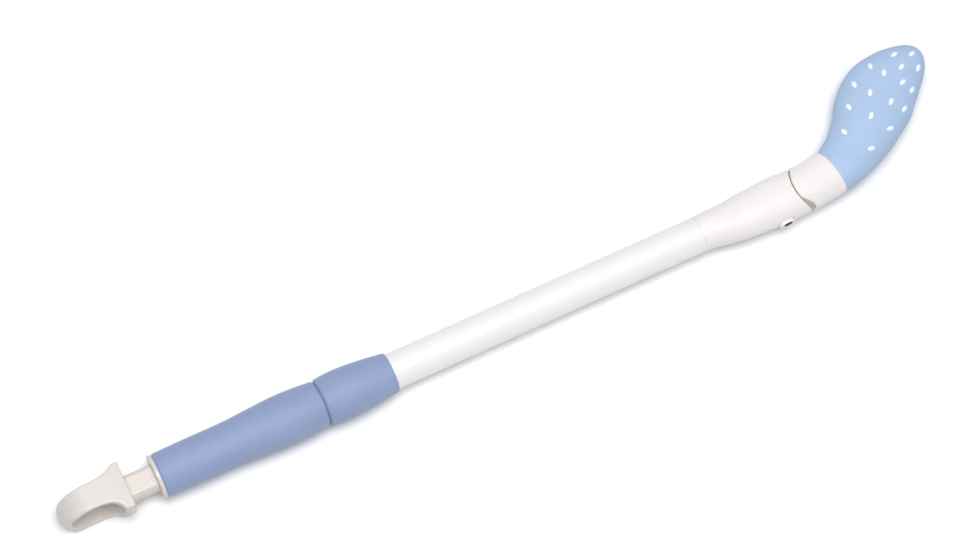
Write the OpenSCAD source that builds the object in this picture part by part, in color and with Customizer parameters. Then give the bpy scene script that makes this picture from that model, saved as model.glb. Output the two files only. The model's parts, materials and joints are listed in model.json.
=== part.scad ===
// Long-handled toilet tissue aid with a sprung plunger that ejects the tissue.
// Millimetres. Everything is drawn along the tube's axis, X, from the tube's rear end at x = 0.
// The head bends towards +Y, its nubbed face is up (+Z) and its tissue slot faces down (-Z).
// place() then moves it all so that the origin is the middle of the base.

/* [Tube] */
// Outside diameter of the tube
tube_d = 16; // [15.9:0.1:16]
// Wall thickness of the tube
tube_wall = 1.2; // [1.1:0.1:1.3]

/* [Grips] */
// Length of the rear grip
rear_grip_len = 74.4; // [72:0.4:76]
// Length of the front sleeve
front_sleeve_len = 33.3; // [30:0.1:36]
// Depth of the groove between the two grips
seam_gap = 0.5; // [0.3:0.1:0.8]

/* [Plunger] */
// How far the ring pushes in
plunger_travel = 12; // [10:0.5:12]
// Radius of the finger hole
finger_hole_r = 12; // [11:0.5:12]
// Width of the flat-sided shaft, along Y
shaft_w = 12; // [11.6:0.1:12]
// Thickness of the shaft across its flats, along Z
shaft_t = 9; // [8.6:0.1:9]
// Diameter of the push rod
rod_d = 4; // [3.6:0.1:4]

/* [Hinge] */
// How far the head tilts back, in degrees
tilt_range = 18; // [10:1:18]
// Radius of the neck's concave mouth about the tilt axis
mouth_r = 14.8; // [14.7:0.1:15]
// Radius of the trunnion pins
pivot_r = 2.5; // [2.3:0.1:2.5]

/* [Head] */
// Thickness of the soft boot
boot_wall = 2; // [1.8:0.1:2.1]
// Half the width of the tissue slot
slot_half = 3.6; // [3.5:0.1:3.7]
// Length of one grip nub
nub_len = 3.8; // [3:0.1:3.8]
// Width of one grip nub
nub_w = 2; // [1.6:0.1:2]

/* [Hidden] */
$fn = 64;

fit = 0.05;                      // radial clearance of a running or slip fit
eps = 0.01;
tube_len = 256.8;
tube_r = tube_d / 2;
tube_bore_r = tube_r - tube_wall;

// Frame: the middle of the base of the whole object
rear_x = -45.4;                  // back of the finger ring
tip_x = 390;                     // front of the frame: the tip of the head, to the nearest millimetre
low_y = -12.4;                   // face of the release button's pad
high_y = 43.2;                   // crown of the head's bend
ring_half_z = 13.8;              // half width of the finger ring, which rests on the ground
ring_mid_x = rear_x + ring_half_z;
rest = [356, -8.7];              // x, z of a point on the flat under the head, which rests there too
mid_x = (rear_x + tip_x) / 2;
mid_y = (low_y + high_y) / 2;

// The neck, collar and head share one spine: x, y, half width and half thickness at each station
SPINE = [
    [256.8, 0, 8, 8], [262, 0, 8.2, 8], [270, -0.6, 9.1, 8.05], [278, -0.8, 10, 8.1],
    [287, -0.7, 10.6, 8.2], [296.5, -0.5, 10.9, 8.3], [305.5, -0.6, 10.7, 8.3], [315, -0.1, 10.6, 8.3],
    [324.5, 1.2, 10.8, 8.2], [332.1, 3.5, 11.75, 8.4], [340.2, 7.6, 13.25, 8.8], [348.2, 13.2, 15.2, 9.2],
    [355.6, 19.8, 17, 9.4], [363.5, 25.7, 16.9, 9.2], [371.8, 29.7, 14.4, 8.5],
    [378.7, 32.3, 11.4, 7.6], [384, 34.2, 8.2, 6.4], [387, 35.2, 5.3, 4.8],
    [388.6, 35.7, 2.8, 2.6], [389.1, 35.9, 0.3, 0.3]
];
last = len(SPINE) - 1;
collar_u = 8;                    // station at the collar's front edge
core_end_u = 17.2;               // station where the core ends inside the tip
seam_u = 0.004;                  // hairline left between two parts that butt, in stations
oval_power = 2.2;                // 2 is an ellipse, more is squarer
sides = 32;

// Tilt axis
pivot_x = 318;
drum_r = mouth_r - 0.3;          // rear of the collar's inner drum
collar_r = 14.1;                 // rear edge of the collar's skin
wedge_at = [305.2, -5.6];        // where the wedge gap on the -Y side begins on that edge
wedge_dir = -42.7;               // direction of the collar's edge along the wedge
drum_inset = 0.5;
ear_half = 4.6;                  // half width of the neck's ears about the tilt axis
ear_root_y = 0.5;                // their -Y side at the neck, set in to leave the drum a wall
ear_z = [4.2, 5.6];
core_head_z = [3.6, 4.7];        // heads of the core's screws
core_screw_at = [[346.8, 23.9], [357.4, 9.6], [376, 31]];

// Plunger and cam
shaft_end_x = 19.5;
stop_x = 46;                     // rear face of the spring stop
flange_x = -14.3;                // front face of the ring's flange
flange_t = 3;                    // from that face to the finger hole
ear_reach = 10.3;                // half the width across the flange's ears
ear_low_z = 0.5;                 // underside of the ears
rod_r = rod_d / 2;
cam_angle = 20;
cam_tip = 13;                    // nose of the cam ahead of the tilt axis
cam_half_z = 2.5;
cam_half_y = 2.5;
hub_r = 3.5;
hub_back = 10;                   // rear of the cam's hub, behind the tilt axis

// Ejector
foot_r = 1.5;
foot_reach = 11.5;               // foot ahead of the tilt axis
foot_dir = tilt_range / 2;       // so that the foot stays over the rod at both ends of the tilt
foot = [pivot_x + foot_reach * cos(foot_dir), foot_reach * sin(foot_dir)];
foot_z = 0.22;
blade_z = [-5.6, -3.4];
blade_half = slot_half - 0.3;
screw_at = [[347.5, 13], [363.5, 24.6]];
BLADE = [foot, [336, 5.6], [341.5, 8.9], [347.5, 13], [355.6, 19], [363.5, 24.6], [368, 27.3]];

// Release button
button_x = 295.5;
pad_x = 295.9;                   // dark pad in the button's face
pad_r = 2;
pad_depth = 2.6;
pad_proud = 0.1;                 // how far the pad stands out of the button
button_travel = 1.2;

// Grip nubs: station on the spine, place across the head (-1 to 1) and direction in plan
NUBS = [
    [10, 0.55, 104], [10.01, -0.52, 174],
    [11.4, 0.65, 98], [11.31, -0.01, 42], [11.19, -0.66, 172],
    [12.44, 0.7, 88], [12.32, 0.24, 60], [12.38, -0.35, 42], [12.45, -0.75, 24],
    [13.41, 0.64, 76], [13.48, 0.22, 60], [13.73, -0.37, 20], [13.82, -0.73, 26],
    [14.77, 0.49, 18], [14.41, -0.04, 26], [15.29, -0.57, 38], [15.8, 0.07, 22]
];

// ---- functions ----

function blend4(a, b, c, d, t) =
    0.5 * (2 * b + (c - a) * t + (2 * a - 5 * b + 4 * c - d) * t * t + (3 * b - a - 3 * c + d) * t * t * t);
function pick(list, i) =
    i < 0 ? 2 * list[0] - list[1]
    : i > len(list) - 1 ? 2 * list[len(list) - 1] - list[len(list) - 2]
    : list[i];
function along(list, u) =
    let (i = min(floor(u), len(list) - 2))
    blend4(pick(list, i - 1), pick(list, i), pick(list, i + 1), pick(list, i + 2), u - i);
function heading(u) =
    let (a = along(SPINE, max(u - 0.02, 0)), b = along(SPINE, min(u + 0.02, last)))
    atan2(b[1] - a[1], b[0] - a[0]);
function bulge(v) = sign(v) * pow(abs(v), 2 / oval_power);
function ring(u, inset) =
    let (s = along(SPINE, u), h = heading(u))
    [for (k = [0:sides - 1])
        let (a = 360 * k / sides, c = (s[2] - inset) * bulge(cos(a)), z = (s[3] - inset) * bulge(sin(a)))
        [s[0] - sin(h) * c, s[1] + cos(h) * c, z]];
function skin(u, f) =
    let (s = along(SPINE, u), h = heading(u), c = s[2] * f)
    [s[0] - sin(h) * c, s[1] + cos(h) * c, s[3] * pow(1 - pow(abs(f), oval_power), 1 / oval_power)];
function unit(v) = v / norm(v);
function skin_normal(u, f) =
    unit(cross(skin(u + 0.05, f) - skin(u - 0.05, f), skin(u, f + 0.02) - skin(u, f - 0.02)));
function arc(cx, cy, r, from, to, n) =
    [for (k = [0:n]) let (a = from + (to - from) * k / n) [cx + r * cos(a), cy + r * sin(a)]];
function bearing(a, b) = atan2(b[1] - a[1], b[0] - a[0]);
function path_side(path, half) =
    [for (i = [0:len(path) - 1])
        let (from = bearing(path[max(i - 1, 0)], path[max(i, 1)]),
            to = bearing(path[min(i, len(path) - 2)], path[min(i + 1, len(path) - 1)]),
            mid = (from + to) / 2, r = half / cos((to - from) / 2))
        path[i] + r * [-sin(mid), cos(mid)]];
function path_end(c, r, out) =
    [for (a = [72:-18:-72]) c + r * [cos(out + a), sin(out + a)]];
function profile(list, n) =
    [for (i = [0:(len(list) - 1) * n]) along(list, i / n)];

// ---- shared shapes ----

module place() {
    translate([-mid_x, -mid_y, ring_half_z]) children();
}

// Solid of oval sections along the spine, between two stations
module loft(u0, u1, inset = 0, step = 0.5) {
    n = ceil((u1 - u0) / step);
    rings = [for (i = [0:n]) ring(u0 + (u1 - u0) * i / n, inset)];
    points = [for (r = rings) for (p = r) p];
    walls = [for (i = [0:n - 1]) for (k = [0:sides - 1])
        let (a = i * sides + k, b = i * sides + (k + 1) % sides, c = b + sides, d = a + sides)
        for (f = [[a, d, c], [a, c, b]]) f];
    rear = [[for (k = [0:sides - 1]) k]];
    front = [[for (k = [0:sides - 1]) n * sides + sides - 1 - k]];
    polyhedron(points, concat(rear, walls, front), convexity = 4);
}

// Body of revolution about X from [x, radius] pairs, with a bore
module turned(outline, bore_r) {
    first = outline[0][0];
    final = outline[len(outline) - 1][0];
    rotate([0, 90, 0])
        rotate_extrude()
            polygon(concat([[bore_r, first]], [for (p = outline) [p[1], p[0]]], [[bore_r, final]]));
}

module x_cylinder(r, x0, x1) {
    translate([x0, 0, 0]) rotate([0, 90, 0]) cylinder(r = r, h = x1 - x0);
}

module z_cylinder(r, x, y, z0, z1) {
    translate([x, y, z0]) cylinder(r = r, h = z1 - z0);
}

module y_cylinder(r, x, y0, y1) {
    translate([x, y0, 0]) rotate([-90, 0, 0]) cylinder(r = r, h = y1 - y0);
}

module block(x, y, z) {
    translate([x[0], y[0], z[0]]) cube([x[1] - x[0], y[1] - y[0], z[1] - z[0]]);
}

// Flat path of constant width, with mitred bends and round ends
module strip(path, half) {
    end = len(path) - 1;
    right = path_side(path, -half);
    polygon(concat(
        path_side(path, half),
        path_end(path[end], half, bearing(path[end - 1], path[end])),
        [for (i = [end:-1:0]) right[i]],
        path_end(path[0], half, bearing(path[1], path[0]))
    ));
}

// Coil of round wire about Z, closed with flat ends by its own wire ends
module coil(r, wire_r, height, turns, per_turn = 20, around = 6) {
    n = turns * per_turn;
    rise = height - 2 * wire_r;
    points = [for (i = [0:n]) for (k = [0:around - 1])
        let (a = 360 * i / per_turn, b = 360 * k / around, q = r + wire_r * cos(b))
        [q * cos(a), q * sin(a), wire_r + rise * i / n + wire_r * sin(b)]];
    walls = [for (i = [0:n - 1]) for (k = [0:around - 1])
        let (a = i * around + k, b = i * around + (k + 1) % around, c = b + around, d = a + around)
        for (f = [[a, b, c], [a, c, d]]) f];
    rear = [[for (k = [0:around - 1]) around - 1 - k]];
    front = [[for (k = [0:around - 1]) n * around + k]];
    polyhedron(points, concat(rear, walls, front), convexity = 10);
}

// Children turned about the tilt axis through the whole tilt range, as the head sees the handle
module swept(step) {
    for (a = [0:step:tilt_range])
        translate([pivot_x, 0]) rotate(a) children();
}

// Space inside the head for the neck's ears, through the whole tilt range
module ear_space(gap, half_z) {
    r = ear_half + gap;
    root = gap - ear_root_y;
    rear = 20;
    c = cos(tilt_range);
    s = sin(tilt_range);
    low = [root * s - rear * c, -rear * s - root * c];
    translate([pivot_x, 0, -half_z])
        linear_extrude(2 * half_z)
            polygon(concat([[-rear, r]], arc(0, 0, r, 90, tilt_range - 90, 18), [low]));
}

// Space inside the collar and core for the cam nose and its hub
module cam_space() {
    half = cam_half_y + 0.4;
    reach = cam_tip + plunger_travel + 0.5;
    hub_reach = 9 + 0.6;
    translate([0, 0, -cam_half_z - 0.3])
        linear_extrude(2 * cam_half_z + 0.6)
            swept(6) translate([-16, -half]) square([16 + reach, 2 * half]);
    translate([0, 0, -hub_r - 0.2])
        linear_extrude(2 * hub_r + 0.4)
            swept(6) translate([-hub_back - 0.4, -hub_r - 0.2])
                square([hub_back + 0.4 + hub_reach, 2 * hub_r + 0.4]);
}

// ---- handle ----

module tube() {
    color("#f3f5f8")
        difference() {
            x_cylinder(tube_r, 0, tube_len);
            x_cylinder(tube_bore_r, -1, tube_len + 1);
            for (x = [8, stop_x + 4]) z_cylinder(1.02, x, 0, -tube_r - 1, tube_r + 1);
        }
}

module rear_grip() {
    shape = [
        [0, 9.3], [2, 9.7], [16, 9.9], [32, 9.9], [46, 10.7], [57, 11.2], [67, 10.9], [rear_grip_len, 10.2]
    ];
    color("#9aabd4")
        turned(profile(shape, 5), tube_r + fit);
}

module front_sleeve() {
    x0 = rear_grip_len + seam_gap;
    x1 = rear_grip_len + front_sleeve_len;
    shape = [
        [x0 + 1, 10.55], [x0 + 5, 10.95], [x0 + 10, 11.1], [x0 + 17, 10.75], [x0 + 25, 9.9], [x1, 8.85]
    ];
    color("#9aabd4")
        turned(concat([[x0, 9.9]], profile(shape, 5)), tube_r + fit);
}

module shaft_section(grow) {
    intersection() {
        circle(r = shaft_w / 2 + grow);
        square([shaft_t + 2 * grow, shaft_w + 2], center = true);
    }
}

module end_cap() {
    color("#ece8e0")
        difference() {
            union() {
                turned([[-1.8, 9.3], [-1.5, 9.7], [-0.3, 9.7], [0, 9.4]], 0.5);
                x_cylinder(tube_bore_r - fit, -1, 16);
            }
            translate([-3, 0, 0]) rotate([0, 90, 0]) linear_extrude(22) shaft_section(fit);
            for (m = [0, 1]) mirror([0, 0, m]) z_cylinder(1.02, 8, 0, 4, 8);
        }
}

module end_cap_pins() {
    color("#b9bcc2")
        for (m = [0, 1]) mirror([0, 0, m]) z_cylinder(1, 8, 0, shaft_t / 2 + 0.3, tube_r - 0.05);
}

module return_spring() {
    color("#8d9096")
        translate([shaft_end_x, 0, 0]) rotate([0, 90, 0]) coil(5.2, 0.55, stop_x - shaft_end_x, 8);
}

module spring_stop() {
    color("#d9dade")
        difference() {
            x_cylinder(tube_bore_r - fit, stop_x, stop_x + 8);
            x_cylinder(rod_r + fit, stop_x - 1, stop_x + 9);
            for (m = [0, 1]) mirror([0, 0, m]) z_cylinder(1.02, stop_x + 4, 0, 3, 8);
        }
}

module spring_stop_pins() {
    color("#b9bcc2")
        for (m = [0, 1]) mirror([0, 0, m]) z_cylinder(1, stop_x + 4, 0, 3.2, tube_r - 0.05);
}

module rod_guides() {
    color("#e8e8ea")
        for (x = [120, 185])
            difference() {
                x_cylinder(tube_bore_r - fit, x, x + 6);
                x_cylinder(rod_r + fit, x - 1, x + 7);
            }
}

// ---- plunger ----

// Band of the finger ring, seen from above the finger hole's axis
module ring_plan() {
    translate([ring_mid_x, 0]) circle(r = ring_half_z);
    polygon([
        [ring_mid_x, -ring_half_z], [-20, -12.9], [flange_x, -12.2],
        [flange_x, 12.2], [-20, 12.9], [ring_mid_x, ring_half_z]
    ]);
}

// The same band seen along Z: a slim strap, a little off centre, that flares into the flange's two ears
module ring_side() {
    left = [
        [rear_x, 2.4], [rear_x + 0.7, 4], [rear_x + 2.4, 5.2], [-40, 5.7], [-36, 6.1], [-28, 6.6],
        [-24, 7], [-21.3, 7.6], [-19.2, 8.7], [-17.6, 9.9], [-16.9, ear_reach],
        [flange_x - 0.4, ear_reach], [flange_x, ear_reach - 0.4]
    ];
    right = [
        [flange_x, 0.4 - ear_reach], [flange_x - 0.4, -ear_reach], [-18.3, -ear_reach], [-18.7, -9.8],
        [-19.2, -8.2], [-20.2, -6.8], [-21.6, -5.7], [-23.6, -5], [-27, -4.6], [-32, -4.6], [-37, -4.7],
        [-40, -4.7], [-41.6, -4.2], [rear_x + 2, -2.8], [rear_x + 0.7, -1.4], [rear_x, 0.2]
    ];
    polygon(concat(left, right));
}

// Outline of the flange seen along X, upper side towards -X: the two ears, and a slimmer lower half
module flange_outline() {
    r = 2.5;
    z = ring_half_z - r;
    y = ear_reach - r;
    low_half = 7.2;
    polygon(concat(
        arc(-z, -y, r, 180, 270, 6), [[-ear_low_z, -ear_reach], [4 - ear_low_z, -low_half]],
        arc(z, r - low_half, r, 270, 360, 6), arc(z, low_half - r, r, 0, 90, 6),
        [[4 - ear_low_z, low_half], [-ear_low_z, ear_reach]], arc(-z, y, r, 90, 180, 6)
    ));
}

module ring_plunger() {
    color("#ebe6dc")
        difference() {
            union() {
                intersection() {
                    translate([0, 12, 0]) rotate([90, 0, 0]) linear_extrude(24) ring_plan();
                    translate([0, 0, -15]) linear_extrude(30) ring_side();
                    translate([rear_x - 1, 0, 0]) rotate([0, 90, 0]) linear_extrude(40) flange_outline();
                }
                translate([flange_x - 1, 0, 0]) rotate([0, 90, 0])
                    linear_extrude(shaft_end_x - flange_x + 1) shaft_section(0);
            }
            y_cylinder(finger_hole_r, flange_x - flange_t - finger_hole_r, -15, 15);
            x_cylinder(rod_r + 0.01, 3, shaft_end_x + 1);
            z_cylinder(1.02, 17.05, 0, -8, 8);
        }
}

module push_rod() {
    color("#a9adb3")
        difference() {
            x_cylinder(rod_r, 3.1, pivot_x - 5.1);
            z_cylinder(1.02, 17.05, 0, -8, 8);
            z_cylinder(0.77, pivot_x - 7, 0, -8, 8);
        }
}

module rod_cross_pin() {
    color("#b9bcc2") z_cylinder(1, 17.05, 0, -6.3, 6.3);
}

module cam_nose() {
    run = 2 * cam_half_z / tan(cam_angle);
    tip = pivot_x + cam_tip;
    color("#e8e8ea")
        difference() {
            union() {
                x_cylinder(hub_r, pivot_x - hub_back, pivot_x - 3);
                intersection() {
                    translate([0, 5, 0]) rotate([90, 0, 0]) linear_extrude(10)
                        polygon([
                            [pivot_x - 4, -cam_half_z], [tip - run, -cam_half_z],
                            [tip - 0.6, cam_half_z - 0.6 * tan(cam_angle)],
                            [tip - 0.6, cam_half_z], [pivot_x - 4, cam_half_z]
                        ]);
                    translate([0, 0, -5]) linear_extrude(10)
                        polygon([
                            [pivot_x - 5, -cam_half_y], [tip - 3, -cam_half_y], [tip, -1.9],
                            [tip, 1.9], [tip - 3, cam_half_y], [pivot_x - 5, cam_half_y]
                        ]);
                }
            }
            x_cylinder(rod_r + 0.01, pivot_x - hub_back - 1, pivot_x - 5);
            z_cylinder(0.77, pivot_x - 7, 0, -8, 8);
        }
}

module cam_pin() {
    color("#b9bcc2") z_cylinder(0.75, pivot_x - 7, 0, -3.3, 3.3);
}

// ---- neck ----

module ear_pair() {
    for (m = [0, 1]) mirror([0, 0, m]) {
        translate([0, 0, ear_z[0]])
            linear_extrude(ear_z[1] - ear_z[0])
                polygon(concat(
                    [[pivot_x - 18, ear_half]],
                    arc(pivot_x, 0, ear_half, 90, -90, 24),
                    [[pivot_x - 18, ear_root_y]]
                ));
        block([pivot_x - 18.6, pivot_x - mouth_r - 0.2], [ear_root_y, ear_half], [ear_z[0], 7]);
    }
}

module neck() {
    color("#f4f0ea")
        difference() {
            union() {
                x_cylinder(tube_bore_r - fit, tube_len - 18, tube_len + 4);
                difference() {
                    loft(seam_u, 6.9);
                    // concave mouth about the tilt axis
                    z_cylinder(mouth_r, pivot_x, 0, -12, 12);
                    // room for the lock bar, and a pocket for the button's spring
                    intersection() {
                        loft(3.5, 7.2, 2);
                        union() {
                            block([pivot_x - 22.3, pivot_x], [-12, 12], [-8, 8]);
                            block([pivot_x - 29, pivot_x - 22], [-12, -3.4], [-8, 8]);
                        }
                    }
                    button_prism(fit, -14, -8);
                }
                ear_pair();
            }
            x_cylinder(rod_r + fit, tube_len - 20, pivot_x - 20);
            z_cylinder(pivot_r, pivot_x, 0, -8, 8);
        }
}

module pivot_pins() {
    color("#b9bcc2")
        for (m = [0, 1]) mirror([0, 0, m]) z_cylinder(pivot_r - 0.02, pivot_x, 0, ear_z[0], 7.2);
}

// Oval prism of the button along Y
module button_prism(grow, y0, y1) {
    r = 2.5;
    span = 1.2;
    translate([button_x, y1, 0]) rotate([90, 0, 0])
        linear_extrude(y1 - y0) {
            for (s = [-1, 1]) translate([s * span, 0]) circle(r = r + grow);
            square([2 * span, 2 * (r + grow)], center = true);
        }
}

module release_button() {
    color("#f4f0ea")
        difference() {
            button_prism(0, low_y + pad_proud, -8.3);
            y_cylinder(pad_r, pad_x, low_y - 1, low_y + pad_depth);
        }
}

module button_pad() {
    color("#2b2b2e") y_cylinder(pad_r - 0.02, pad_x, low_y, low_y + pad_depth - eps);
}

module lock_bar() {
    color("#d9dade")
        difference() {
            union() {
                block([pivot_x - 21.5, pivot_x - 19], [-7.6, 4.6], [-3.6, 3.6]);
                block([pivot_x - 27.6, pivot_x - 18.4], [-8.3, -7], [-3.2, 3.2]);
                block([pivot_x - 19.5, pivot_x - 13], [2.8, 4.6], [-3, 3]);
            }
            // window for the push rod, and the shoe's face on the drum
            for (y = [0, -button_travel - 0.2])
                translate([0, y, 0]) x_cylinder(rod_r + 0.5, pivot_x - 23, pivot_x - 18);
            block([pivot_x - 23, pivot_x - 18], [-button_travel - 0.2, 0], [-rod_r - 0.5, rod_r + 0.5]);
            z_cylinder(drum_r + 0.1, pivot_x, 0, -8, 8);
        }
}

module button_spring() {
    color("#8d9096")
        translate([pivot_x - 25, -7 + eps, 0]) rotate([-90, 0, 0]) coil(1.4, 0.22, 3.58, 5, 16, 5);
}

// ---- head ----

module collar() {
    color("#f4f0ea")
        difference() {
            union() {
                difference() {
                    intersection() {
                        loft(5.6, collar_u);
                        union() {
                            z_cylinder(collar_r, pivot_x, 0, -12, 12);
                            block([pivot_x, pivot_x + 20], [-20, 20], [-12, 12]);
                        }
                    }
                    translate([wedge_at[0], wedge_at[1], 0]) rotate(wedge_dir)
                        block([-6, 24], [-12, 0], [-13, 13]);
                }
                intersection() {
                    loft(5, 7.5, drum_inset);
                    z_cylinder(drum_r, pivot_x, 0, -12, 12);
                }
            }
            loft(7.3, collar_u + 0.2, boot_wall);
            ear_space(0.3, ear_z[1] + 0.1);
            cam_space();
            z_cylinder(pivot_r + fit, pivot_x, 0, -7.3, 7.3);
        }
}

module core_body() {
    difference() {
        loft(7.35, core_end_u, boot_wall + 0.1);
        ear_space(0.4, ear_z[1] + 0.9);
        cam_space();
        // slot for the blade, open to the back
        translate([0, 0, -12]) linear_extrude(12 + blade_z[1] + 0.1) strip(BLADE, slot_half - 0.1);
        z_cylinder(foot_r + 0.6, foot[0], foot[1], -6, 3);
        for (p = screw_at) {
            z_cylinder(2.9, p[0], p[1], -1.8, 6);
            z_cylinder(1.3, p[0], p[1], -4, 0);
        }
    }
}

module core_front() {
    color("#dfe2e6")
        difference() {
            intersection() {
                core_body();
                block([300, 400], [-20, 60], [0.02, 12]);
            }
            for (p = core_screw_at) {
                z_cylinder(1.1, p[0], p[1], -1, 8);
                z_cylinder(2, p[0], p[1], core_head_z[0], 9);
            }
        }
}

module core_back() {
    color("#cdd1d6")
        difference() {
            intersection() {
                core_body();
                block([300, 400], [-20, 60], [-12, -0.02]);
            }
            for (p = core_screw_at) z_cylinder(1.02, p[0], p[1], -4.6, 1);
        }
}

module core_screws() {
    color("#8d9096")
        for (p = core_screw_at) {
            z_cylinder(1, p[0], p[1], -4.5, core_head_z[1] - 0.5);
            z_cylinder(1.9, p[0], p[1], core_head_z[0] + 0.02, core_head_z[1]);
        }
}

// Everything under the plane that the object rests on, ring and head
module below_rest() {
    slope = atan((rest[1] + ring_half_z) / (rest[0] - ring_mid_x));
    translate([ring_mid_x, 0, -ring_half_z]) rotate([0, -slope, 0])
        translate([300, -40, -10]) cube([120, 120, 10]);
}

module head_boot() {
    color("#a4c2e8")
        difference() {
            loft(collar_u + seam_u, last);
            loft(collar_u - 0.2, core_end_u, boot_wall);
            translate([0, 0, -12]) linear_extrude(8) strip(BLADE, slot_half);
            below_rest();
        }
}

// Pill along X, centred on the origin
module pill(length, r) {
    half = length / 2 - r;
    x_cylinder(r, -half, half);
    for (s = [-1, 1]) translate([s * half, 0, 0]) sphere(r = r);
}

module grip_nubs() {
    sink = 0.45;
    color("#f6f9ff")
        for (n = NUBS) {
            normal = skin_normal(n[0], n[1]);
            run = [cos(n[2]), sin(n[2])];
            slope = -(normal[0] * run[0] + normal[1] * run[1]) / normal[2];
            translate(skin(n[0], n[1]) - sink * normal)
                rotate([0, -atan(slope), n[2]])
                    pill(nub_len, nub_w / 2, $fn = 24);
        }
}

module ejector_blade() {
    color("#dfe2e6")
        difference() {
            union() {
                translate([0, 0, blade_z[0]])
                    linear_extrude(blade_z[1] - blade_z[0]) {
                        strip([foot, BLADE[1]], 2.4);
                        strip([for (i = [1:len(BLADE) - 1]) BLADE[i]], blade_half);
                    }
                translate([foot[0], foot[1], 0])
                    rotate_extrude()
                        polygon(concat([[0, blade_z[0] + 1]], [[foot_r, blade_z[0] + 1]],
                            arc(0, foot_z, foot_r, 0, 75, 5), [[0, foot_z + foot_r * sin(75)]]));
            }
            for (p = screw_at) z_cylinder(1.22, p[0], p[1], blade_z[0] + 0.6, 0);
        }
}

module ejector_screws() {
    color("#b9bcc2")
        for (p = screw_at) {
            z_cylinder(1.2, p[0], p[1], blade_z[0] + 0.65, 4.8);
            z_cylinder(2.4, p[0], p[1], 4.6, 5.6);
        }
}

module ejector_springs() {
    color("#8d9096")
        for (p = screw_at)
            translate([p[0], p[1], -1.8 + eps]) coil(2, 0.3, 6.38, 5, 16, 5);
}

place() tube();
place() rear_grip();
place() front_sleeve();
place() end_cap();
place() end_cap_pins();
place() return_spring();
place() spring_stop();
place() spring_stop_pins();
place() rod_guides();
place() ring_plunger();
place() push_rod();
place() rod_cross_pin();
place() cam_nose();
place() cam_pin();
place() neck();
place() pivot_pins();
place() release_button();
place() button_pad();
place() lock_bar();
place() button_spring();
place() collar();
place() core_front();
place() core_back();
place() core_screws();
place() head_boot();
place() grip_nubs();
place() ejector_blade();
place() ejector_screws();
place() ejector_springs();
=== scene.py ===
"""Looks of a long-handled tissue aid with a sprung plunger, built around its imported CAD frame.

Shapes are drawn in millimetres along the tube's axis, with x = 0 at the tube's rear end, and placed
in metres.
"""

import json
import math

import bmesh
import bpy
from mathutils import Matrix, Vector
from mathutils.bvhtree import BVHTree


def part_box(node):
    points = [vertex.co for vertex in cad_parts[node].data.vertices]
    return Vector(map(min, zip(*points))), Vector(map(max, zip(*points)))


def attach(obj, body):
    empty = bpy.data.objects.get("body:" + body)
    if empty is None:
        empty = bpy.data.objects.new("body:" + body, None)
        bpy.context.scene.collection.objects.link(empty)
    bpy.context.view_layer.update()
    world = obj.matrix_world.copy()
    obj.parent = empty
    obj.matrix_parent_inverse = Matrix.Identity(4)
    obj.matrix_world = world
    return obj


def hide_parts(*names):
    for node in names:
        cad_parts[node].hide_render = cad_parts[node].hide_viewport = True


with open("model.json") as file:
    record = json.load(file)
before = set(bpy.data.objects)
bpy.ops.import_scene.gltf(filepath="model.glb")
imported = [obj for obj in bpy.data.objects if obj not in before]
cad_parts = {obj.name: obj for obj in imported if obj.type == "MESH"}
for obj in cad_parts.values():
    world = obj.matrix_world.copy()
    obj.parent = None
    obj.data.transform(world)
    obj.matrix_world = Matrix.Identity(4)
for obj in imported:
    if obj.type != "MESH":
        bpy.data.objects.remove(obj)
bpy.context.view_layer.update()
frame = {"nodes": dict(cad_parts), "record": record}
nodes = frame["nodes"]

MM = 0.001
tube_low, tube_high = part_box("tube")
ORIGIN = Vector((tube_low.x, (tube_low.y + tube_high.y) / 2, (tube_low.z + tube_high.z) / 2))
PLACE = Matrix.Translation(ORIGIN) @ Matrix.Scale(MM, 4)

# ---------------------------------------------------------------- the object's own sizes, in mm

# Spine of the neck, collar and head: x, y, half width and half thickness at each station
SPINE = [
    (256.8, 0, 8, 8), (262, 0, 8.2, 8), (270, -0.6, 9.1, 8.05), (278, -0.8, 10, 8.1),
    (287, -0.7, 10.6, 8.2), (296.5, -0.5, 10.9, 8.3), (305.5, -0.6, 10.7, 8.3), (315, -0.1, 10.6, 8.3),
    (324.5, 1.2, 10.8, 8.2), (332.1, 3.5, 11.75, 8.4), (340.2, 7.6, 13.25, 8.8),
    (348.2, 13.2, 15.2, 9.2), (355.6, 19.8, 17, 9.4), (363.5, 25.7, 16.9, 9.2),
    (371.8, 29.7, 14.4, 8.5), (378.7, 32.3, 11.4, 7.6), (384, 34.2, 8.2, 6.4), (387, 35.2, 5.3, 4.8),
    (388.6, 35.7, 2.8, 2.6), (389.1, 35.9, 0.3, 0.3),
]
LAST = len(SPINE) - 1
OVAL_POWER = 2.2  # of the sections' superellipse
LEAST_HALF = 0.05  # smallest half size of a section

# Sides of a large arc and of a small hole, and the height range of a cut that goes right through
ARC_SIDES, HOLE_SIDES = 160, 48
THROUGH = (-12, 12)

# Stations of the spine where the parts begin and end
NECK_END_U = 6.9
COLLAR_REAR_U, COLLAR_U = 5.6, 8
CORE_END_U = 17.2

# Neck and button
WALL = 2  # of the boot, the neck and the collar's socket
TUBE_R = 8
MOUTH_R = 14.8
BUTTON_X, BUTTON_R, BUTTON_SPAN, BUTTON_INNER_Y = 295.5, 2.5, 1.2, -8.3
BUTTON_PLAY = 0.25
PAD_X, PAD_R, PAD_DEPTH = 295.9, 2, 2.6
ROD_BORE_R = 2.05

# Tilt joint: the collar turns by up to TILT degrees about the pin, between the neck's two ears
PIVOT_X, PIN_R = 318, 2.5
TILT = 18
EAR_HALF = 4.6
EAR_ROOT_Y = 0.5
EAR_Z = (4.2, 5.6)
COLLAR_R = 14.1
DRUM_R, DRUM_INSET = 14.5, 0.5
WEDGE_AT = (305.2, -5.6)
WEDGE_DIR = -42.7

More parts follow.
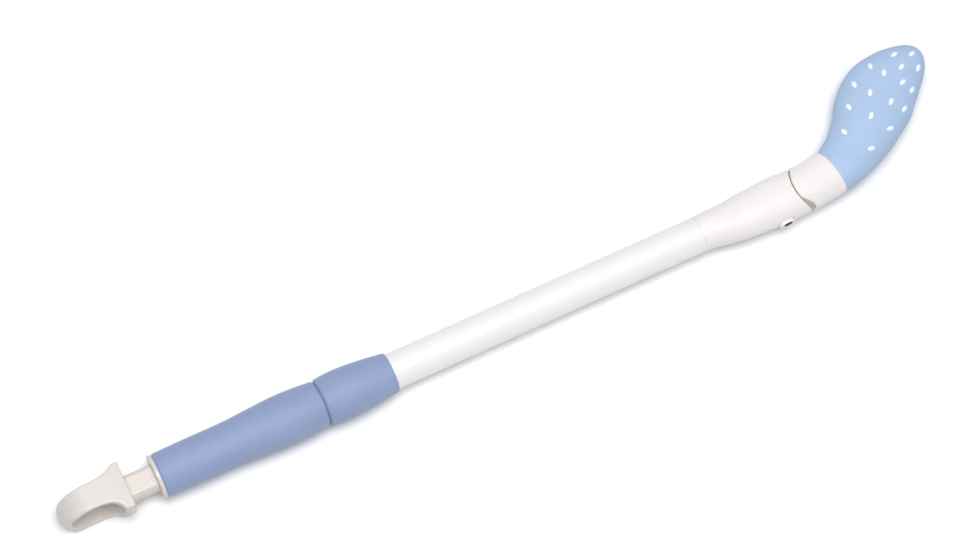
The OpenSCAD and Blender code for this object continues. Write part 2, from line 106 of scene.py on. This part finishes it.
# Finger ring, and the shaft's limits: where it starts, its radius and the half distance of its flats
RING_MID_X, RING_HALF_Z = -31.6, 13.8
SHAFT_X, SHAFT_R, SHAFT_FLAT = -14.1, 5.93, 4.43

# Head: where it rests on the table (x, z), the path of the blade in its slot, and the nubs
REST = (356, -8.7)
FOOT_R, FOOT_ANGLE = 11.5, math.radians(9)
FOOT = (PIVOT_X + FOOT_R * math.cos(FOOT_ANGLE), FOOT_R * math.sin(FOOT_ANGLE))
BLADE = [FOOT, (336, 5.6), (341.5, 8.9), (347.5, 13), (355.6, 19), (363.5, 24.6), (368, 27.3)]
SLOT_HALF, SLOT_Z = 3.6, (-12, -4)
# station, place across from -1 to 1, and turn in degrees of each nub
NUBS = [
    (10, 0.55, 104), (10.01, -0.52, 174),
    (11.4, 0.65, 98), (11.31, -0.01, 42), (11.19, -0.66, 172),
    (12.44, 0.7, 88), (12.32, 0.24, 60), (12.38, -0.35, 42), (12.45, -0.75, 24),
    (13.41, 0.64, 76), (13.48, 0.22, 60), (13.73, -0.37, 20), (13.82, -0.73, 26),
    (14.77, 0.49, 18), (14.41, -0.04, 26), (15.29, -0.57, 38), (15.8, 0.07, 22),
]

# Grips: x and radius along each one
REAR_GRIP = [
    (0, 9.3), (2, 9.7), (16, 9.9), (32, 9.9), (46, 10.7), (57, 11.2), (67, 10.9), (74.4, 10.2)
]
SLEEVE_X = 74.9
SLEEVE = [(75.9, 10.55), (79.9, 10.95), (84.9, 11.1), (91.9, 10.75), (99.9, 9.9), (107.7, 8.85)]

# ---------------------------------------------------------------- curves


def catmull(points, u):
    """Smooth curve through the points; u counts them."""
    last = len(points) - 1
    i = min(max(int(math.floor(u)), 0), last - 1)
    t = u - i

    def pick(k):
        if k < 0:
            return [2 * a - b for a, b in zip(points[0], points[1])]
        if k > last:
            return [2 * a - b for a, b in zip(points[last], points[last - 1])]
        return points[k]

    out = []
    for p, q, r, s in zip(pick(i - 1), pick(i), pick(i + 1), pick(i + 2)):
        slope, bend, twist = r - p, 2 * p - 5 * q + 4 * r - s, 3 * q - p - 3 * r + s
        out.append(0.5 * (2 * q + slope * t + bend * t * t + twist * t ** 3))
    return out


def smooth_path(path, per=6):
    """The curve through a path's points, with per steps from each to the next."""
    return [tuple(catmull(path, i / per)) for i in range((len(path) - 1) * per + 1)]


def heading(u):
    """Direction of the spine at station u."""
    step = 0.02
    a, b = catmull(SPINE, max(u - step, 0)), catmull(SPINE, min(u + step, LAST))
    return math.atan2(b[1] - a[1], b[0] - a[0])


def section(u, inset, count):
    """Points round the oval section at station u."""
    x, y, half_w, half_t = catmull(SPINE, u)
    h = heading(u)
    out = []
    for k in range(count):
        a = 2 * math.pi * k / count
        c, s = math.cos(a), math.sin(a)
        side = max(half_w - inset, LEAST_HALF) * math.copysign(abs(c) ** (2 / OVAL_POWER), c)
        z = max(half_t - inset, LEAST_HALF) * math.copysign(abs(s) ** (2 / OVAL_POWER), s)
        out.append(Vector((x - math.sin(h) * side, y + math.cos(h) * side, z)))
    return out


def skin(u, f):
    """Point of the outer surface's upper side, f across from -1 to 1."""
    x, y, half_w, half_t = catmull(SPINE, u)
    h = heading(u)
    side = half_w * f
    z = half_t * (1 - abs(f) ** OVAL_POWER) ** (1 / OVAL_POWER)
    return Vector((x - math.sin(h) * side, y + math.cos(h) * side, z))


def ease(t):
    """Smooth rise from 0 to 1."""
    t = min(max(t, 0), 1)
    return t * t * (3 - 2 * t)


# ---------------------------------------------------------------- mesh helpers, all in mm


def add_mesh(name, verts, faces):
    mesh = bpy.data.meshes.new(name)
    mesh.from_pydata([tuple(v) for v in verts], [], faces)
    mesh.validate()
    obj = bpy.data.objects.new(name, mesh)
    bpy.context.scene.collection.objects.link(obj)
    bm = bmesh.new()
    bm.from_mesh(mesh)
    bmesh.ops.recalc_face_normals(bm, faces=bm.faces)
    bm.to_mesh(mesh)
    bm.free()
    return obj


def tube_faces(rings, count, closed_ends=True):
    """Faces that join rings of count points, with an end face at each end."""
    faces = []
    for i in range(rings - 1):
        for k in range(count):
            n = (k + 1) % count
            faces.append((i * count + k, (i + 1) * count + k, (i + 1) * count + n, i * count + n))
    if closed_ends:
        faces.append(tuple(range(count)))
        faces.append(tuple((rings - 1) * count + k for k in reversed(range(count))))
    return faces


def loft(name, u0, u1, inset=0, count=96, step=0.1):
    """Solid of oval sections along the spine. inset may be a function of u."""
    n = max(int(math.ceil((u1 - u0) / step)), 1)
    verts = []
    for i in range(n + 1):
        u = u0 + (u1 - u0) * i / n
        verts += section(u, inset(u) if callable(inset) else inset, count)
    return add_mesh(name, verts, tube_faces(n + 1, count))


def prism(outline, z0, z1):
    """Upright prism of an outline in x and y."""
    verts = [(p[0], p[1], z) for z in (z0, z1) for p in outline]
    return add_mesh("cutter", verts, tube_faces(2, len(outline)))


def disc(r, x, y, count):
    """Outline of a circle."""
    turns = [2 * math.pi * k / count for k in range(count)]
    return [(x + r * math.cos(a), y + r * math.sin(a)) for a in turns]


def block(x, y, z):
    """Box from its three ranges."""
    return prism([(x[0], y[0]), (x[1], y[0]), (x[1], y[1]), (x[0], y[1])], z[0], z[1])


def rod_x(r, x0, x1, count):
    """Round rod along x, on the tube's axis."""
    obj = prism(disc(r, 0, 0, count), x0, x1)
    obj.data.transform(Matrix(((0, 0, 1, 0), (0, 1, 0, 0), (-1, 0, 0, 0), (0, 0, 0, 1))))
    return obj


def along_y(outline, y0, y1):
    """Prism along y of an outline in x and z."""
    obj = prism(outline, y0, y1)
    obj.data.transform(Matrix(((1, 0, 0, 0), (0, 0, 1, 0), (0, 1, 0, 0), (0, 0, 0, 1))))
    obj.data.flip_normals()
    return obj


def baked(obj):
    """Replaces the object's mesh with its evaluated one."""
    graph = bpy.context.evaluated_depsgraph_get()
    graph.update()
    mesh = bpy.data.meshes.new_from_object(obj.evaluated_get(graph))
    obj.modifiers.clear()
    obj.data = mesh
    return obj


def combine(obj, other, operation):
    """Boolean of two solids; the other one is used up."""
    mod = obj.modifiers.new("combine", "BOOLEAN")
    mod.operation, mod.object, mod.solver = operation, other, "EXACT"
    baked(obj)
    bpy.data.objects.remove(other)
    return obj


def cut(obj, *others):
    for o in others:
        combine(obj, o, "DIFFERENCE")
    return obj


def join(obj, *others):
    for o in others:
        combine(obj, o, "UNION")
    return obj


def common(obj, *others):
    for o in others:
        combine(obj, o, "INTERSECT")
    return obj


def soften(obj, voxel, rounds, factor=0.5):
    """Even mesh with every edge gently rounded, like a moulding's."""
    mod = obj.modifiers.new("even", "REMESH")
    mod.mode, mod.voxel_size = "VOXEL", voxel
    baked(obj)
    mod = obj.modifiers.new("round", "SMOOTH")
    mod.factor, mod.iterations = factor, rounds
    return baked(obj)


def finish_piece(obj, name, body, material, *replaced, sharp=None):
    """Names, places and shades a piece drawn in mm, and ties it to the frame."""
    obj.name = name
    obj.data.name = name
    obj.data.transform(PLACE)
    obj.data.materials.clear()
    obj.data.materials.append(material)
    obj.data.polygons.foreach_set("use_smooth", [True] * len(obj.data.polygons))
    obj.data.polygons.foreach_set("material_index", [0] * len(obj.data.polygons))
    if sharp:
        obj.data.set_sharp_from_angle(angle=math.radians(sharp))
    obj.data.update()
    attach(obj, body)
    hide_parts(*replaced)
    return obj


def cad_copy(node):
    """The node's own mesh as a new object, in mm."""
    mesh = nodes[node].data.copy()
    mesh.transform(PLACE.inverted())
    obj = bpy.data.objects.new(node + "_copy", mesh)
    bpy.context.scene.collection.objects.link(obj)
    bm = bmesh.new()
    bm.from_mesh(mesh)
    bmesh.ops.remove_doubles(bm, verts=bm.verts, dist=0.002)
    bm.to_mesh(mesh)
    bm.free()
    return obj


def lathe(name, outline, bore, count=ARC_SIDES):
    """Ring turned about x from (x, radius) pairs, with a straight bore."""
    path = list(outline) + [(outline[-1][0], bore), (outline[0][0], bore)]
    n = len(path)
    verts = [
        (x, r * math.cos(2 * math.pi * k / count), r * math.sin(2 * math.pi * k / count))
        for x, r in path
        for k in range(count)
    ]
    faces = []
    for i in range(n):
        for k in range(count):
            here, there, turn = i * count, (i + 1) % n * count, (k + 1) % count
            faces.append((here + k, there + k, there + turn, here + turn))
    return add_mesh(name, verts, faces)


# ---------------------------------------------------------------- materials


def srgb(r, g, b):
    """Linear colour from screen values of 0 to 255."""

    def linear(v):
        v /= 255
        return v / 12.92 if v <= 0.04045 else ((v + 0.055) / 1.055) ** 2.4

    return (linear(r), linear(g), linear(b), 1)


# The colour sockets of a mix node, and the size of the specks in mm
MIX_FACTOR, MIX_A, MIX_B, MIX_OUT = 0, 6, 7, 2
SPECK_SIZE = 1 / 2.6


def material(
    name, colour, roughness, grain=0.02, grain_size=0.5, mottle=0.04, mottle_size=12, metallic=0.0,
    sheen=0.0, subsurface=0.0, coat=0.0, stretch=(1, 1, 1), wear_and_highlight=0.06, speck=0.0
):
    """Moulded or drawn surface: mottled colour, grain in the bump, uneven gloss and lighter edges,
    painted as both wear and highlight.

    Grain and the sizes are in mm.
    """
    mat = bpy.data.materials.new(name)
    mat.use_nodes = True
    tree = mat.node_tree
    tree.nodes.clear()

    def node(kind, **inputs):
        n = tree.nodes.new(kind)
        for key, value in inputs.items():
            n.inputs[key].default_value = value
        return n

    def link(a, out, b, inp):
        tree.links.new(a.outputs[out], b.inputs[inp])

    def remap(source, out, **limits):
        named = {key.replace("_", " "): value for key, value in limits.items()}
        n = node("ShaderNodeMapRange", **named)
        link(source, out, n, "Value")
        return n

    def blend(amount, under, out, over):
        """Mixes the colour over into the one under, by the amount node's result."""
        n = node("ShaderNodeMix")
        n.data_type = "RGBA"
        n.inputs[MIX_B].default_value = over
        link(amount, "Result", n, MIX_FACTOR)
        link(under, out, n, MIX_A)
        return n

    def shade(factor):
        return tuple(min(c * factor, 1) for c in colour[:3]) + (1,)

    output = node("ShaderNodeOutputMaterial")
    shader = node("ShaderNodeBsdfPrincipled")
    shader.inputs["Metallic"].default_value = metallic
    shader.inputs["Sheen Weight"].default_value = sheen
    shader.inputs["Sheen Roughness"].default_value = 0.5
    shader.inputs["Subsurface Weight"].default_value = subsurface
    shader.inputs["Subsurface Radius"].default_value = (0.6, 0.5, 0.4)
    shader.inputs["Subsurface Scale"].default_value = MM
    shader.inputs["Coat Weight"].default_value = coat
    shader.inputs["Coat Roughness"].default_value = 0.25
    link(shader, "BSDF", output, "Surface")

    where = node("ShaderNodeTexCoord")
    scale = node("ShaderNodeMapping")
    scale.inputs["Scale"].default_value = stretch
    link(where, "Object", scale, "Vector")

    def noise(size, detail, roughness):
        n = node("ShaderNodeTexNoise", Scale=1 / (size * MM), Detail=detail, Roughness=roughness)
        link(scale, "Vector", n, "Vector")
        return n

    coarse, fine = noise(mottle_size, 4, 0.55), noise(grain_size, 3, 0.6)

    # colour: mottling, then a paler tone on edges, painted as both wear and highlight, then dark specks
    tone = node("ShaderNodeValToRGB")
    low, high = tone.color_ramp.elements
    low.position, low.color = 0.3, shade(1 - mottle)
    high.position, high.color = 0.7, shade(1 + mottle)
    link(coarse, "Fac", tone, "Fac")

    # painted highlight and wear: pointed edges, such as the grips' lips, get a paler tone
    edge = remap(node("ShaderNodeNewGeometry"), "Pointiness", From_Min=0.52, From_Max=0.62, To_Max=wear_and_highlight)
    paler_worn_and_lit = tuple(min(0.35 + 0.65 * c, 1) for c in colour[:3]) + (1,)
    base = blend(edge, tone, "Color", paler_worn_and_lit)
    if speck:
        dots = remap(noise(SPECK_SIZE, 2, 0.5), "Fac", From_Min=0.6, From_Max=0.72, To_Max=speck)
        base = blend(dots, base, MIX_OUT, shade(0.7))
    link(base, MIX_OUT, shader, "Base Color")

    uneven = 0.06
    gloss = remap(coarse, "Fac", To_Min=max(roughness - uneven, 0.02), To_Max=min(roughness + uneven, 1))
    link(gloss, "Result", shader, "Roughness")

    bump = node("ShaderNodeBump", Strength=1.0, Distance=grain * MM)
    link(fine, "Fac", bump, "Height")
    link(bump, "Normal", shader, "Normal")
    return mat


MATERIALS = {
    "white_tube": material(
        "white_tube", srgb(237, 235, 238), 0.34, grain=0.006, grain_size=0.9, mottle=0.012,
        mottle_size=30, coat=0.25
    ),
    "grip_blue": material(
        "grip_blue", srgb(139, 156, 192), 0.62, grain=0.02, grain_size=0.35, mottle=0.035, mottle_size=9,
        sheen=0.15, subsurface=0.05, speck=0.15
    ),
    "boot_blue": material(
        "boot_blue", srgb(168, 193, 225), 0.6, grain=0.012, grain_size=0.3, mottle=0.03, mottle_size=14,
        subsurface=0.06
    ),
    "nub_white": material(
        "nub_white", srgb(238, 244, 255), 0.45, grain=0.006, grain_size=0.3, mottle=0.01, mottle_size=3,
        subsurface=0.2
    ),
    "warm_white": material(
        "warm_white", srgb(237, 233, 232), 0.38, grain=0.006, grain_size=0.5, mottle=0.015,
        mottle_size=18, subsurface=0.08, coat=0.1
    ),
    "cream": material(
        "cream", srgb(215, 208, 203), 0.42, grain=0.008, grain_size=0.45, mottle=0.02, mottle_size=12,
        subsurface=0.08, coat=0.05
    ),
    # painted shade: a darker beige for the hinge drum, standing in for the shadow inside the parting gap
    "drum_painted_shade": material(
        "drum_painted_shade", srgb(186, 168, 154), 0.5, grain=0.01, grain_size=0.4, mottle=0.03, mottle_size=6
    ),
    "pad_black": material(
        "pad_black", srgb(16, 15, 18), 0.85, grain=0.01, grain_size=0.2, mottle=0.1, mottle_size=1,
        wear_and_highlight=0.02
    ),
    "nylon": material(
        "nylon", srgb(226, 226, 222), 0.5, grain=0.012, grain_size=0.4, mottle=0.03, mottle_size=6,
        subsurface=0.25
    ),
    "rod_alloy": material(
        "rod_alloy", srgb(176, 180, 186), 0.3, grain=0.006, grain_size=0.25, mottle=0.05, mottle_size=4,
        metallic=1.0, stretch=(0.05, 1, 1)
    ),
    "steel": material(
        "steel", srgb(150, 153, 160), 0.28, grain=0.004, grain_size=0.2, mottle=0.06, mottle_size=3,
        metallic=1.0
    ),
}

slot_of = {s["node"]: s["material_slot"] for s in frame["record"]["subparts"]}
for name, obj in nodes.items():
    obj.data.materials.clear()
    obj.data.materials.append(MATERIALS[slot_of[name]])


def slot_material(node):
    return MATERIALS[slot_of[node]]


# ---------------------------------------------------------------- head boot


def mitred(path, half):
    """One side of a path of constant width."""
    out = []
    last = len(path) - 1
    for i, p in enumerate(path):
        a, b = path[max(i - 1, 0)], path[max(i, 1)]
        c, d = path[min(i, last - 1)], path[min(i + 1, last)]
        before = math.atan2(b[1] - a[1], b[0] - a[0])
        after = math.atan2(d[1] - c[1], d[0] - c[0])
        mid, r = (before + after) / 2, half / math.cos((after - before) / 2)
        out.append((p[0] - r * math.sin(mid), p[1] + r * math.cos(mid)))
    return out


def strip(path, half, ends=15):
    """Outline of a path of constant width with round ends."""

    def end(inner, tip):
        out = math.atan2(tip[1] - inner[1], tip[0] - inner[0])
        turns = [math.pi * (0.5 - k / ends) for k in range(1, ends)]
        return [(tip[0] + half * math.cos(out + t), tip[1] + half * math.sin(out + t)) for t in turns]

    return (
        mitred(path, half) + end(path[-2], path[-1])
        + mitred(path, -half)[::-1] + end(path[1], path[0])
    )


def make_boot():
    """Hollow soft skin of the head. Returns its plain outer surface for the nubs to follow."""
    edge_drop, edge_run = 0.3, 0.5

    def outer(u):
        return edge_drop * (1 - ease((u - COLLAR_U) / edge_run))

    boot = loft("boot", COLLAR_U, LAST, outer)
    surface = BVHTree.FromObject(boot, bpy.context.evaluated_depsgraph_get())
    hollow = loft("hollow", COLLAR_U - 0.2, CORE_END_U, WALL, count=64, step=0.25)
    slot = prism(strip(smooth_path(BLADE), SLOT_HALF), *SLOT_Z)
    cut(boot, hollow, slot)
    # the flat under the head lies in the table's plane, which runs on from the ring's lowest point
    below = block((300, 420), (-40, 80), (-10, 0))
    slope = math.atan((REST[1] + RING_HALF_Z) / (REST[0] - RING_MID_X))
    below.data.transform(
        Matrix.Translation((RING_MID_X, 0, -RING_HALF_Z)) @ Matrix.Rotation(-slope, 4, "Y")
    )
    cut(boot, below)
    soften(boot, 0.4, 5)
    finish_piece(boot, "soft_head_boot", "head", slot_material("head_boot"), "head_boot")
    return surface


def make_nubs(surface):
    """Rice-shaped nubs that follow the boot's surface."""
    length, width, proud, sunk = 2.05, 1.15, 0.55, 0.5
    taper, dome, reach = 0.2, 0.6, 4
    step_u, step_f = 0.05, 0.02
    rounds, around = 8, 28
    verts, faces = [], []
    for u, f, turn in NUBS:
        p = skin(u, f)
        du = skin(u + step_u, f) - skin(u - step_u, f)
        df = skin(u, f + step_f) - skin(u, f - step_f)
        n = du.cross(df).normalized()
        a = math.radians(turn)
        t1 = Vector((math.cos(a), math.sin(a), 0))
        t1 = (t1 - n * t1.dot(n)).normalized()
        t2 = n.cross(t1)

        def on_skin(q, lift):
            hit = surface.ray_cast(q + reach * n, -n)[0]
            return (q if hit is None else hit) + lift * n

        start = len(verts)
        for side, height in ((1, proud), (-1, -sunk)):
            verts.append(on_skin(p, height))
            for i in range(1, rounds + 1):
                if side < 0 and i == rounds:
                    break
                r = i / rounds
                for k in range(around):
                    b = 2 * math.pi * k / around
                    c, s = math.cos(b), math.sin(b)
                    x, y = length * r * c, width * r * s * (1 - taper * c * c)
                    rise = height * ((1 - r * r) ** dome if side > 0 else 1 - r ** 4)
                    verts.append(on_skin(p + x * t1 + y * t2, rise))
        top, under = start, start + 1 + rounds * around

        def edge(base, i, k):
            """Point k of ring i round a middle point, and the next one."""
            ring = base + 1 + (i - 1) * around
            return ring + k, ring + (k + 1) % around

        for k in range(around):
            faces.append((top, *edge(top, 1, k)))
            faces.append((under, *edge(under, 1, k)[::-1]))
            for i in range(1, rounds):
                (a, d), (b, c) = edge(top, i, k), edge(top, i + 1, k)
                faces.append((a, b, c, d))
            for i in range(1, rounds - 1):
                faces.append((*edge(under, i, k), *edge(under, i + 1, k)[::-1]))
            faces.append((*edge(under, rounds - 1, k), *edge(top, rounds, k)[::-1]))
    nubs = add_mesh("nubs", verts, faces)
    finish_piece(nubs, "rice_nubs", "head", slot_material("grip_nubs"), "grip_nubs")


# ---------------------------------------------------------------- neck, collar and button


def oval_button(grow, count=24):
    """Outline of the button in x and z."""
    r = BUTTON_R + grow
    right = [-math.pi / 2 + math.pi * k / count for k in range(count + 1)]
    return [
        (BUTTON_X + side * BUTTON_SPAN + r * math.cos(a + turn), r * math.sin(a + turn))
        for side, turn in ((1, 0), (-1, math.pi))
        for a in right
    ]


def make_neck():
    """Flare from the tube to the concave mouth, with room behind the button and the pin's ears."""
    edge_drop, edge_run = 0.22, 0.06

    def rear_edge(u):
        return edge_drop * (1 - ease(u / edge_run))

    neck = loft("neck", 0, NECK_END_U, rear_edge, step=0.06)
    cut(neck, prism(disc(MOUTH_R, PIVOT_X, 0, ARC_SIDES), *THROUGH))
    room = loft("room", 3.5, 7.2, WALL, count=64, step=0.25)
    bar_room = block((PIVOT_X - 22.3, PIVOT_X), THROUGH, (-8, 8))
    behind_button = block((PIVOT_X - 29, PIVOT_X - 22), (-12.2, -3.4), (-8.2, 8.2))
    common(room, join(bar_room, behind_button))
    button_hole = along_y(oval_button(BUTTON_PLAY), -14, -8)
    cut(neck, room, button_hole, rod_x(ROD_BORE_R, 236, 300, HOLE_SIDES))
    arc = [
        (PIVOT_X + EAR_HALF * math.cos(a), EAR_HALF * math.sin(a))
        for a in (math.pi * (k / 24 - 0.5) for k in range(25))
    ]
    for side in (1, -1):
        z = sorted((side * EAR_Z[0], side * EAR_Z[1]))
        ear = prism([(PIVOT_X - 18, EAR_ROOT_Y), *arc, (PIVOT_X - 18, EAR_HALF)], *z)
        root_z = sorted((side * EAR_Z[0], side * 7))
        join(ear, block((PIVOT_X - 18.6, PIVOT_X - MOUTH_R - 0.2), (EAR_ROOT_Y, EAR_HALF), root_z))
        join(neck, ear)
    cut(neck, prism(disc(PIN_R, PIVOT_X, 0, HOLE_SIDES), -8, 8))
    soften(neck, 0.36, 3)
    finish_piece(neck, "hinge_neck", "handle", slot_material("neck"), "neck")


def paint_drum_shade(collar):
    """Paints shade on the inset drum, which shows in the parting gap: its sunk faces get a darker beige
    that stands in for the shadow there.
    """
    rings, count, first_u, step, inset = 41, 48, 5, 0.1, 0.35
    outside = [tuple(p) for i in range(rings) for p in section(first_u + i * step, 0, count)]
    surface = BVHTree.FromPolygons(outside, tube_faces(rings, count, False))
    collar.data.materials.append(MATERIALS["drum_painted_shade"])
    back = PLACE.inverted()
    for face in collar.data.polygons:
        p = back @ face.center
        depth = surface.find_nearest(p)[3]
        # faces of the drum sunk deeper than inset below the outer surface get the painted shade
        if depth > inset and math.hypot(p.x - PIVOT_X, p.y) < DRUM_R + 0.1 and p.x < PIVOT_X:
            face.material_index = 1


def turned(x, y, z, angle, about=(PIVOT_X, 0)):
    """Box from its ranges about a point, turned about z there."""
    box = block(x, y, z)
    box.data.transform(Matrix.Translation((*about, 0)) @ Matrix.Rotation(angle, 4, "Z"))
    return box


def make_collar():
    """Piece between the parting line and the boot, with the drum that turns in the neck's mouth."""
    collar = loft("collar", COLLAR_REAR_U, COLLAR_U, 0, step=0.05)
    shell = prism(disc(COLLAR_R, PIVOT_X, 0, ARC_SIDES), *THROUGH)
    join(shell, block((PIVOT_X, PIVOT_X + 20), (-20, 20), (-12.5, 12.5)))
    common(collar, shell)
    cut(collar, turned((-6, 24), (-12, 0), (-13, 13), math.radians(WEDGE_DIR), WEDGE_AT))
    drum = loft("drum", 5, 7.5, DRUM_INSET, step=0.1)
    common(drum, prism(disc(DRUM_R, PIVOT_X, 0, ARC_SIDES), *THROUGH))
    join(collar, drum)

    # what the neck's ears sweep through as the collar tilts
    play, rear = 0.3, 20
    r, root = EAR_HALF + play, play - EAR_ROOT_Y
    tilt = math.radians(TILT)
    c, s = math.cos(tilt), math.sin(tilt)
    space = [(PIVOT_X - rear, r)]
    space += [
        (PIVOT_X + r * math.cos(a), r * math.sin(a))
        for a in (math.pi / 2 + (tilt - math.pi) * k / 24 for k in range(25))
    ]
    space.append((PIVOT_X - rear * c + root * s, -rear * s - root * c))

    # what the push rod and the cam nose sweep through: rear, front, half width and half height
    rod_room, nose_room = (16, 26, 2.9, 2.8), (10.4, 10, 3.7, 3.7)
    passages = [
        turned((-behind, front), (-half, half), (-half_z, half_z), tilt * k / 3)
        for behind, front, half, half_z in (rod_room, nose_room)
        for k in range(4)
    ]
    cut(
        collar,
        *passages,
        loft("bed", 7.3, COLLAR_U + 0.2, WALL, count=64, step=0.1),
        prism(space, -EAR_Z[1], EAR_Z[1]),
        prism(disc(PIN_R + 0.05, PIVOT_X, 0, HOLE_SIDES), -7.3, 7.3),
    )
    soften(collar, 0.25, 3)
    finish_piece(collar, "hinge_collar", "head", slot_material("collar"), "collar")
    # painted shade on the drum in the parting gap
    paint_drum_shade(collar)


def make_button():
    """Raised oval button with the pocket for its dark pad."""
    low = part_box("release_button")[0].y
    face = (low - ORIGIN.y) / MM
    button = along_y(oval_button(0), face, BUTTON_INNER_Y)
    cut(button, along_y(disc(PAD_R, PAD_X, 0, 64), face - 1, face + PAD_DEPTH))
    soften(button, 0.14, 3)
    finish_piece(button, "oval_button", "release", slot_material("release_button"), "release_button")


# ---------------------------------------------------------------- grips, ring and cap


def make_grips():
    """The two grips, with rounded lips and a blue floor in the seam between them."""
    bore = TUBE_R + 0.05
    body = smooth_path(REAR_GRIP)
    x0, r0 = body[0]
    x1, r1 = body[-1]
    rear = [(x0, r0 - 0.5), (x0 + 0.1, r0 - 0.2), (x0 + 0.4, r0 + 0.08)]
    rear += [p for p in body if x0 + 0.6 < p[0] < x1 - 0.8]
    rear += [(x1 - 0.35, r1 + 0.08), (x1 - 0.12, r1 + 0.02), (x1 - 0.02, r1 - 0.12), (x1, r1 - 0.4)]
    rear += [(x1 + 0.02, 9), (SLEEVE_X - 0.04, 8.95)]
    grip = lathe("grip", rear, bore)
    finish_piece(grip, "palm_grip", "handle", slot_material("rear_grip"), "rear_grip", sharp=50)

    body = smooth_path(SLEEVE)
    x1, r1 = body[-1]
    sleeve = [(SLEEVE_X + dx, r) for dx, r in ((0, 8.9), (0.1, 9.4), (0.3, 9.8), (0.6, 10.15))]
    sleeve += [p for p in body if p[0] < x1 - 0.4]
    sleeve += [(x1 - 0.16, r1 - 0.02), (x1 - 0.03, r1 - 0.1), (x1, r1 - 0.3)]
    front = lathe("front", sleeve, bore)
    finish_piece(
        front, "thumb_sleeve", "handle", slot_material("front_sleeve"), "front_sleeve", sharp=50
    )


def make_ring():
    """Finger ring, flange and shaft."""
    ring = cad_copy("ring_plunger")
    soften(ring, 0.36, 6)
    # the shaft keeps its play in the end cap's hole right up to the flange
    for v in ring.data.vertices:
        if v.co.x > SHAFT_X:
            v.co.z = max(-SHAFT_FLAT, min(v.co.z, SHAFT_FLAT))
            v.co.yz *= min(SHAFT_R / max(v.co.yz.length, 1), 1)
    finish_piece(ring, "finger_ring", "plunger", slot_material("ring_plunger"), "ring_plunger")


make_nubs(make_boot())
make_neck()
make_collar()
make_button()
make_grips()
make_ring()

# ---------------------------------------------------------------- floor, light and camera


# The camera's own axes, its place and its lens
RIGHT = Vector((0.8956, -0.4386, 0.0745))
UP = Vector((0.3959, 0.8622, 0.3159))
BACK = Vector((-0.2028, -0.2534, 0.9459))
EYE = (-0.2438, -0.2861, 1.1196)
LENS, SENSOR = 99.7, 36


def make_floor():
    """Large sheet of pale paper."""
    half = 3.0
    corners = [(-half, -half, 0), (half, -half, 0), (half, half, 0), (-half, half, 0)]
    mesh = bpy.data.meshes.new("floor")
    mesh.from_pydata(corners, [], [(0, 1, 2, 3)])
    floor = bpy.data.objects.new("floor", mesh)
    bpy.context.scene.collection.objects.link(floor)
    pale = (0.93, 0.93, 0.93, 1)
    paper = material("floor_paper", pale, 0.9, grain=0.002, mottle=0.004, mottle_size=80, wear_and_highlight=0)
    mesh.materials.append(paper)


def make_key_light():
    """Broad soft light from above and to the right of the camera, aimed at the middle."""
    distance, size, power = 1.6, 0.75, 21
    data = bpy.data.lights.new("key", "AREA")
    data.shape, data.size, data.energy = "DISK", size, power
    light = bpy.data.objects.new("key", data)
    light.location = distance * (BACK + 0.19 * UP + 0.05 * RIGHT).normalized()
    light.rotation_euler = (-light.location).to_track_quat("-Z", "Y").to_euler()
    bpy.context.scene.collection.objects.link(light)


def make_world():
    """Soft white room, brighter overhead and on the side the object is lit from."""
    world = bpy.data.worlds.new("studio")
    world.use_nodes = True
    tree = world.node_tree
    back = tree.nodes["Background"]
    where = tree.nodes.new("ShaderNodeTexCoord")
    facing = tree.nodes.new("ShaderNodeVectorMath")
    facing.operation = "DOT_PRODUCT"
    facing.inputs[1].default_value = (BACK + 0.63 * UP + 0.18 * RIGHT).normalized()
    tree.links.new(where.outputs["Generated"], facing.inputs[0])
    level = tree.nodes.new("ShaderNodeMapRange")
    level.inputs["From Min"].default_value = -0.35
    level.inputs["To Min"].default_value = 0.05
    level.inputs["To Max"].default_value = 0.5
    tree.links.new(facing.outputs["Value"], level.inputs["Value"])
    back.inputs["Color"].default_value = (0.98, 0.985, 1, 1)
    tree.links.new(level.outputs["Result"], back.inputs["Strength"])
    bpy.context.scene.world = world


def make_camera():
    data = bpy.data.cameras.new("camera")
    data.lens, data.sensor_width = LENS, SENSOR
    camera = bpy.data.objects.new("camera", data)
    turn = Matrix((RIGHT, UP, BACK)).transposed()
    camera.matrix_world = Matrix.Translation(EYE) @ turn.to_4x4()
    bpy.context.scene.collection.objects.link(camera)
    bpy.context.scene.camera = camera


make_floor()
make_world()
make_key_light()
make_camera()
bpy.context.scene.view_settings.view_transform = "Standard"
